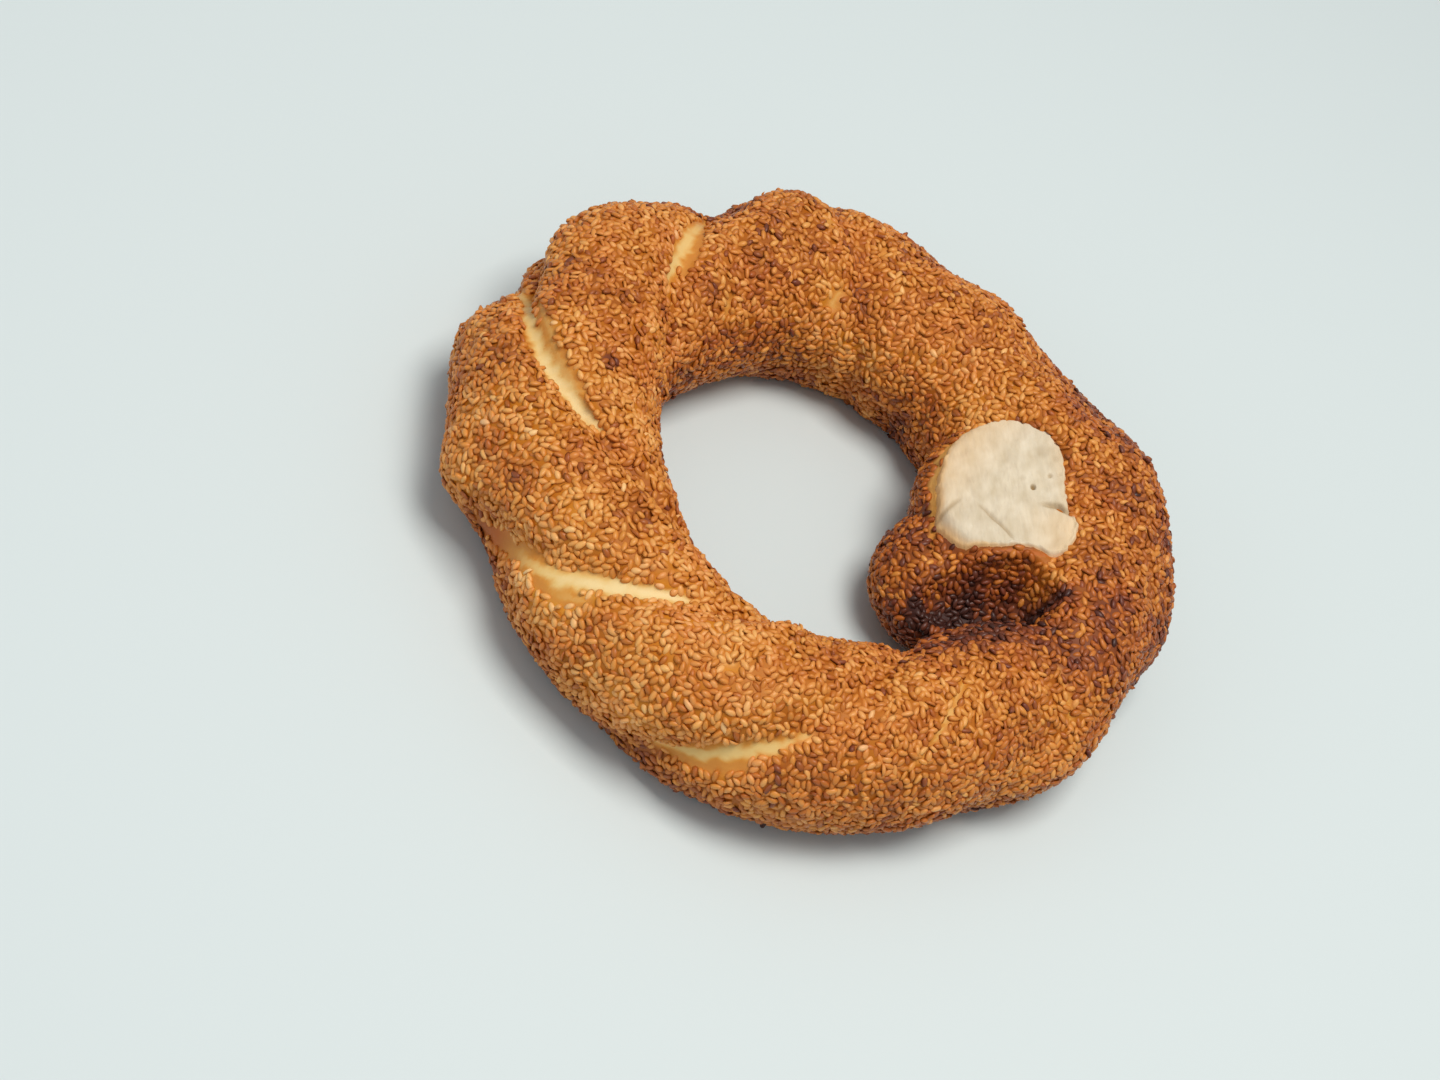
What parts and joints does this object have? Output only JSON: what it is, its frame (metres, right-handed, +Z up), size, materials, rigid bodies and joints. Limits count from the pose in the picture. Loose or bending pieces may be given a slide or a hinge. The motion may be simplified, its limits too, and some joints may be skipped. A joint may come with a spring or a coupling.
{
  "type": "simit",
  "caption": "Ring of twisted, sesame-crusted bread with an overlapping rope end whose top is torn off.",
  "frame": {"origin": "middle of the footprint, on the surface that the ring lies on", "axes": "+Z up through the hole; +X towards the overlapping rope end; the ring lies in the XY plane"},
  "size_m": [0.1754, 0.17, 0.0413],
  "materials": {
    "crust": null,
    "crumb": "off-white, dry, fibrous crumb",
    "sesame": "toasted sesame seeds, satin"
  },
  "bodies": {
    "root": {"bread_ring": "crust"}
  },
  "joints": []
}
